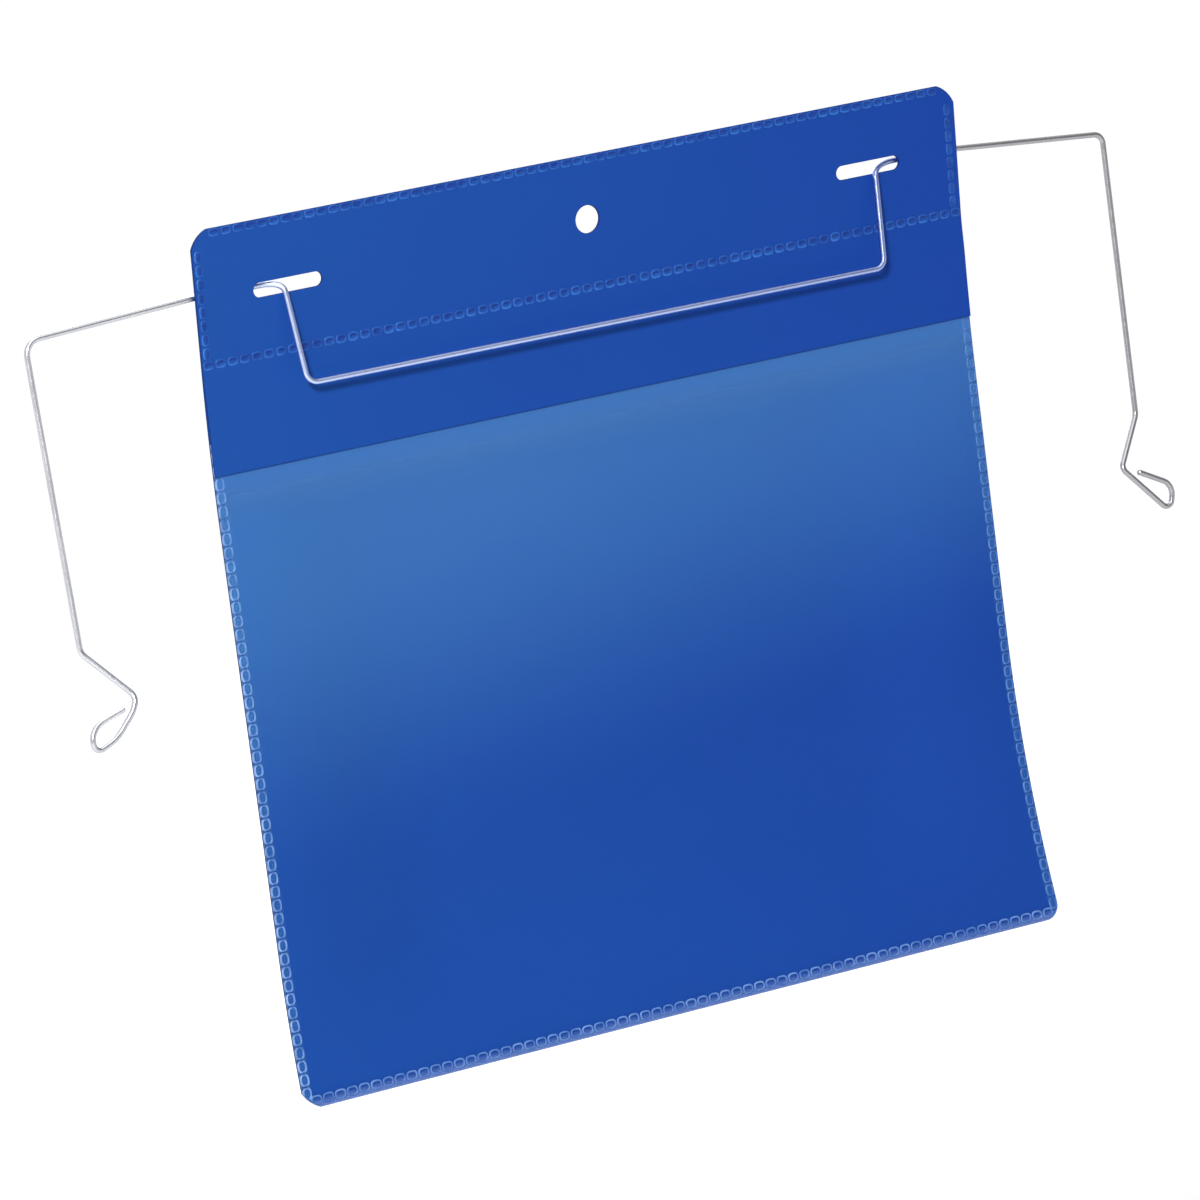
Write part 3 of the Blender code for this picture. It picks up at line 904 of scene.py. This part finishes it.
def window_rows():
    """Rings down both sides of the window, with two under the flap, and along its bottom."""
    rows = []
    for side, ring_light in ((-1, LEFT_RING_LIGHT), (1, RIGHT_RING_LIGHT)):
        x = side * (HALF_WIDTH - WINDOW_SIDE_INSET)
        rows += row_between((x, WINDOW_TOP), (x, FLAP_EDGE), WINDOW_RING, ring_light)
        rows += row_between((x, SIDE_ROW_HIGH), (x, SIDE_ROW_LOW), WINDOW_RING, ring_light)
    end = HALF_WIDTH - END_ROW_INSET
    low = BOTTOM + WINDOW_END_INSET
    return rows + row_between((-end, low), (end, low), WINDOW_RING, BOTTOM_RING_LIGHT)


def header_rows():
    """Rings round the header and along its lower weld line."""
    end = HALF_WIDTH - CORNER_CUT
    high = HEADER_HEIGHT - HEADER_TOP_INSET
    rows = row_between((-end, high), (end, high), HEADER_RING, HEADER_RING_LIGHT)
    rows += row_between((-HALF_WIDTH, 0.0), (HALF_WIDTH, 0.0), SEAM_RING, HEADER_RING_LIGHT)
    left = HEADER_LEFT_INSET - HALF_WIDTH
    right = HALF_WIDTH - HEADER_RIGHT_INSET
    for x, ring_light in ((left, HEADER_RING_LIGHT), (right, HEADER_RIGHT_RING_LIGHT)):
        top = (x, HEADER_HEIGHT - CORNER_CUT)
        rows += row_between(top, (x, SEAM_RING.width / 2), HEADER_RING, ring_light)
    return rows


def weld(name, rows, surface, lift, mat):
    """A piece of raised rings. lift is -1 on a front face and 1 on a back face."""
    bm = bmesh.new()
    bm.verts.layers.float.new("ring_light")
    for row in rows:
        raise_ring(bm, *row, surface, lift)
    trim_rings(bm)
    obj = new_object(name, bm, [mat])
    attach(obj, "pocket")


def welds():
    """Embossed rings on the window's rim, the header's front and the back."""
    pale = ring_material("window_weld", WINDOW_RINGS)
    weld("window_weld", window_rows(), window_face, -1, pale)
    blue = ring_material("header_weld", HEADER_RINGS)
    weld("header_weld", header_rows(), front_face, -1, blue)
    dull = ring_material("back_weld", BACK_RINGS)
    weld("back_weld", header_rows() + window_rows(), back_face, 1, dull)


def rounded_path(points, radii):
    """A line of points with each inner corner turned into an arc."""
    path = [points[0]]
    for before, corner, after, radius in zip(points, points[1:], points[2:], radii):
        back = (before - corner).normalized()
        ahead = (after - corner).normalized()
        half = back.angle(ahead) / 2
        room = BEND_ROOM * min((before - corner).length, (after - corner).length)
        tangent = min(radius / math.tan(half), room)
        centre = corner + (back + ahead).normalized() * (tangent / math.cos(half))
        first = corner + back * tangent - centre
        last = corner + ahead * tangent - centre
        turn = first.angle(last)
        for i in range(ARC_STEPS + 1):
            t = i / ARC_STEPS
            swept = first * math.sin((1 - t) * turn) + last * math.sin(t * turn)
            path.append(centre + swept / math.sin(turn))
    path.append(points[-1])
    return path


def hanger_point(x, behind, above):
    """A place by its distances from the swing axis, square to the header and up along it."""
    axis = Vector((x, sheet_y(0.0, SWING_Z) + HEADER_MIDDLE, SWING_Z))
    return axis + HEADER_BACK * behind + HEADER_UP * above


def half_bail(arm_start):
    """Centre line from the middle of the bar up the leg and through the slot to the arm."""
    wrap = math.hypot(HALF_HEADER, LIP_DEPTH) + WIRE_CLEARANCE + WIRE_RADIUS
    leg_x = SLOT_X + LEG_OUTSET
    down = HEADER_BACK * -math.sin(BAIL_LEAN) - HEADER_UP * math.cos(BAIL_LEAN)
    leg_top = hanger_point(leg_x, -wrap * math.cos(BAIL_LEAN), wrap * math.sin(BAIL_LEAN))
    leg_length = (leg_top.z + BAR_DROP) / -down.z
    bar_end = leg_top + down * leg_length - Vector((BAIL_TAPER, 0.0, 0.0))
    bar_middle = Vector((0.0, bar_end.y, bar_end.z))
    path = rounded_path([bar_middle, bar_end, leg_top], [BAIL_BEND])
    up_leg = leg_top - down * (ARM_ABOVE - wrap * math.sin(BAIL_LEAN))
    to_arm = Vector((leg_x, arm_start.y, arm_start.z)).lerp(arm_start, SLOT_TURN)
    for i in range(1, 2 * ARC_STEPS):
        t = i / (2 * ARC_STEPS)
        u = 1 - t
        bend = leg_top * u**3 + up_leg * (3 * u * u * t) + to_arm * (3 * u * t * t) + arm_start * t**3
        path.append(bend)
    return path


def half_wire(hook):
    """Centre line from the middle of the bar to one cut end, drawn on the right."""
    arm_start = hanger_point(SLOT_X + SLOT_LENGTH / 2 - WIRE_RADIUS, ARM_BEHIND, ARM_ABOVE)
    arm_edge = hanger_point(HALF_WIDTH, ARM_BEHIND, ARM_ABOVE)
    corner = arm_edge + Vector((ARM_REACH, -ARM_AHEAD, -ARM_SAG))
    leg_end = corner + Vector((-SIDE_LEG_TUCK, -SIDE_LEG_AHEAD, -SIDE_LEG_DROP))
    neck = leg_end + Vector(hook.into)
    loop_points = [neck + Vector((x, y, z)) for x, y, z, _ in hook.loop]
    stations = [arm_start, arm_edge, corner, leg_end, neck] + loop_points
    bends = [ARM_SWEEP, hook.arm_bend, HOOK_BEND, hook.neck_bend] + [bend for *_, bend in hook.loop[:-1]]
    return half_bail(arm_start) + rounded_path(stations, bends)


def hanger_tilt(x):
    """Slope of the hanger at its bail, behind the header or at its corners."""
    bail = smooth((SHIFT_NEAR - abs(x)) / (SHIFT_NEAR - SLOT_X))
    corner = smooth((abs(x) - HALF_WIDTH) / ARM_REACH)
    return ARM_TILT + (BAIL_TILT - ARM_TILT) * bail + (CORNER_TILT - ARM_TILT) * corner


def wire_path():
    """Centre line of the hanger, from one cut end to the other."""
    left = [Vector((-p.x, p.y, p.z)) for p in reversed(half_wire(LEFT_HOOK)[1:])]
    path = left + half_wire(RIGHT_HOOK)[1:]
    for point in path:
        point.z -= hanger_tilt(point.x) * point.x * smooth((point.z - TILT_LOW) / (TILT_HIGH - TILT_LOW))
        point.x -= BAIL_SHIFT * smooth((SHIFT_FAR - abs(point.x)) / (SHIFT_FAR - SHIFT_NEAR))
    return path


def wire_stations(path):
    """Points and radii along the wire, with its two cut ends rounded."""
    first = (path[0] - path[1]).normalized()
    last = (path[-1] - path[-2]).normalized()
    tip = DRAWN_RADIUS - WIRE_END_ROUND
    stations = [(path[0], tip), (path[0] - first * WIRE_END_ROUND, DRAWN_RADIUS)]
    stations += [(point, DRAWN_RADIUS) for point in path[1:-1]]
    stations += [(path[-1] - last * WIRE_END_ROUND, DRAWN_RADIUS), (path[-1], tip)]
    return stations


def sweep_wire(bm, stations):
    """Rings of points along the wire. Each keeps its place round and along it for the drawing marks."""
    drawn = bm.verts.layers.float_vector.new("drawn")
    rings = []
    travel = 0.0
    along = (stations[1][0] - stations[0][0]).normalized()
    side = along.orthogonal().normalized()
    for i, (point, radius) in enumerate(stations):
        before = stations[max(i - 1, 0)][0]
        after = stations[min(i + 1, len(stations) - 1)][0]
        new_along = (after - before).normalized()
        side.rotate(along.rotation_difference(new_along))
        along = new_along
        side = (side - along * side.dot(along)).normalized()
        other = along.cross(side)
        travel += (point - before).length
        ring = []
        for k in range(WIRE_SIDES):
            a = 2 * math.pi * k / WIRE_SIDES
            v = bm.verts.new(point + (side * math.cos(a) + other * math.sin(a)) * radius)
            v[drawn] = (math.cos(a), math.sin(a), travel / STREAK_LENGTH)
            ring.append(v)
        rings.append(ring)
    return rings


def wire_hanger():
    """The bent wire, in one piece from hook to hook."""
    bm = bmesh.new()
    rings = sweep_wire(bm, wire_stations(wire_path()))
    for ring, following in zip(rings, rings[1:]):
        for k in range(WIRE_SIDES):
            j = (k + 1) % WIRE_SIDES
            bm.faces.new((ring[k], ring[j], following[j], following[k]))
    bm.faces.new(list(reversed(rings[0])))
    bm.faces.new(rings[-1])
    obj = new_object("wire_hanger_drawn", bm, [wire_material()])
    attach(obj, "hanger")
    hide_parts("wire_hanger")


# Stage


def floor():
    """White floor well below the hanging pocket, which keeps its shadow."""
    bm = bmesh.new()
    z = frame_z(BOTTOM) - FLOOR_BELOW
    corners = ((-1, -1), (1, -1), (1, 1), (-1, 1))
    bm.faces.new([bm.verts.new((x * FLOOR_SIZE, y * FLOOR_SIZE, z)) for x, y in corners])
    mesh = bpy.data.meshes.new("floor")
    bm.to_mesh(mesh)
    bm.free()
    mat, tree, shader = start_material("floor_white")
    shader.inputs["Base Color"].default_value = (FLOOR_GREY, FLOOR_GREY, FLOOR_GREY, 1.0)
    shader.inputs["Roughness"].default_value = 0.9
    shader.inputs["Specular IOR Level"].default_value = 0.0
    shader.inputs["Emission Color"].default_value = (1.0, 1.0, 1.0, 1.0)
    rays = node(tree, "ShaderNodeLightPath").outputs
    place = object_place(tree)
    _, y, _ = split_place(tree, place)
    front = remap(tree, y, FLOOR_FRONT_FAR, FLOOR_FRONT_NEAR, FLOOR_FRONT, 1.0)
    mirrored = math_node(tree, "MULTIPLY", rays["Is Glossy Ray"], front)
    shown = math_node(tree, "MAXIMUM", rays["Is Camera Ray"], rays["Is Transmission Ray"])
    shown = math_node(tree, "MAXIMUM", shown, mirrored)
    away = node(tree, "ShaderNodeVectorMath", operation="LENGTH")
    tree.links.new(place, away.inputs[0])
    level = remap(tree, away.outputs["Value"], FLOOR_NEAR, FLOOR_FAR, FLOOR_NEAR_SHOWN, FLOOR_FAR_SHOWN)
    tree.links.new(math_node(tree, "MULTIPLY", shown, level), shader.inputs["Emission Strength"])
    mesh.materials.append(mat)
    obj = bpy.data.objects.new("floor", mesh)
    bpy.context.scene.collection.objects.link(obj)


def world():
    """White to the camera, plain soft light on the object, and a studio mirrored in the metal."""
    made = bpy.data.worlds.new("studio")
    bpy.context.scene.world = made
    made.use_nodes = True
    tree = made.node_tree
    rays = node(tree, "ShaderNodeLightPath").outputs
    direction = node(tree, "ShaderNodeTexCoord").outputs["Generated"]
    _, y, _ = split_place(tree, direction)
    room = remap(tree, y, -ROOM_TURN, ROOM_TURN, ROOM_SHOWN, 1.0, soft=True)
    toward = node(tree, "ShaderNodeVectorMath", operation="DOT_PRODUCT")
    tree.links.new(direction, toward.inputs[0])
    toward.inputs[1].default_value = SOFTBOX
    inside = toward.outputs["Value"]
    box_low, box_high = SOFTBOX_EDGE - SOFTBOX_SOFT, SOFTBOX_EDGE + SOFTBOX_SOFT
    box = remap(tree, inside, box_low, box_high, 0.0, SOFTBOX_SHOWN, soft=True)
    mirrored = math_node(tree, "MULTIPLY", math_node(tree, "MAXIMUM", room, box), rays["Is Glossy Ray"])
    shown = math_node(tree, "MAXIMUM", rays["Is Camera Ray"], rays["Is Transmission Ray"])
    shown = math_node(tree, "MAXIMUM", shown, mirrored)
    strength = math_node(tree, "MAXIMUM", shown, WORLD_LIGHT)
    tree.links.new(strength, tree.nodes["Background"].inputs["Strength"])
    tree.nodes["Background"].inputs["Color"].default_value = (1.0, 1.0, 1.0, 1.0)


def area_light(name, place, size, power):
    """A soft square lamp aimed at the middle of the pocket."""
    data = bpy.data.lights.new(name, "AREA")
    data.size = size
    data.energy = power
    obj = bpy.data.objects.new(name, data)
    obj.location = place
    aim = Vector((0.0, 0.0, AIM.z * MM))
    obj.rotation_euler = (aim - Vector(place)).to_track_quat("-Z", "Y").to_euler()
    bpy.context.scene.collection.objects.link(obj)


def lights():
    area_light("key", KEY_PLACE, KEY_SIZE, KEY_POWER)
    area_light("fill", FILL_PLACE, FILL_SIZE, FILL_POWER)
    area_light("back", BACK_PLACE, FILL_SIZE, BACK_POWER)


def camera():
    """The photograph's viewpoint."""
    yaw, pitch, roll = CAMERA_YAW, CAMERA_PITCH, CAMERA_ROLL
    ahead = Vector((math.sin(yaw) * math.cos(pitch), math.cos(yaw) * math.cos(pitch), math.sin(pitch)))
    level = Vector((math.cos(yaw), -math.sin(yaw), 0.0))
    above = level.cross(ahead)
    right = level * math.cos(roll) + above * math.sin(roll)
    up = above * math.cos(roll) - level * math.sin(roll)
    scale = CAMERA_DISTANCE / FOCAL_PIXELS
    place = AIM - ahead * CAMERA_DISTANCE
    place -= right * ((AIM_PIXEL[0] - PHOTO_SIZE / 2) * scale)
    place += up * ((AIM_PIXEL[1] - PHOTO_SIZE / 2) * scale)
    data = bpy.data.cameras.new("photo_view")
    data.sensor_width = SENSOR
    data.sensor_fit = "HORIZONTAL"
    data.lens = FOCAL_PIXELS * SENSOR / PHOTO_SIZE
    obj = bpy.data.objects.new("photo_view", data)
    turn = Matrix((right, up, -ahead)).transposed()
    obj.matrix_world = Matrix.Translation(to_frame(place)) @ turn.to_4x4()
    bpy.context.scene.collection.objects.link(obj)
    bpy.context.scene.camera = obj


camera()
back_sheet()
front_sheet()
window()
welds()
wire_hanger()
floor()
world()
lights()
bpy.context.scene.view_settings.view_transform = "Standard"
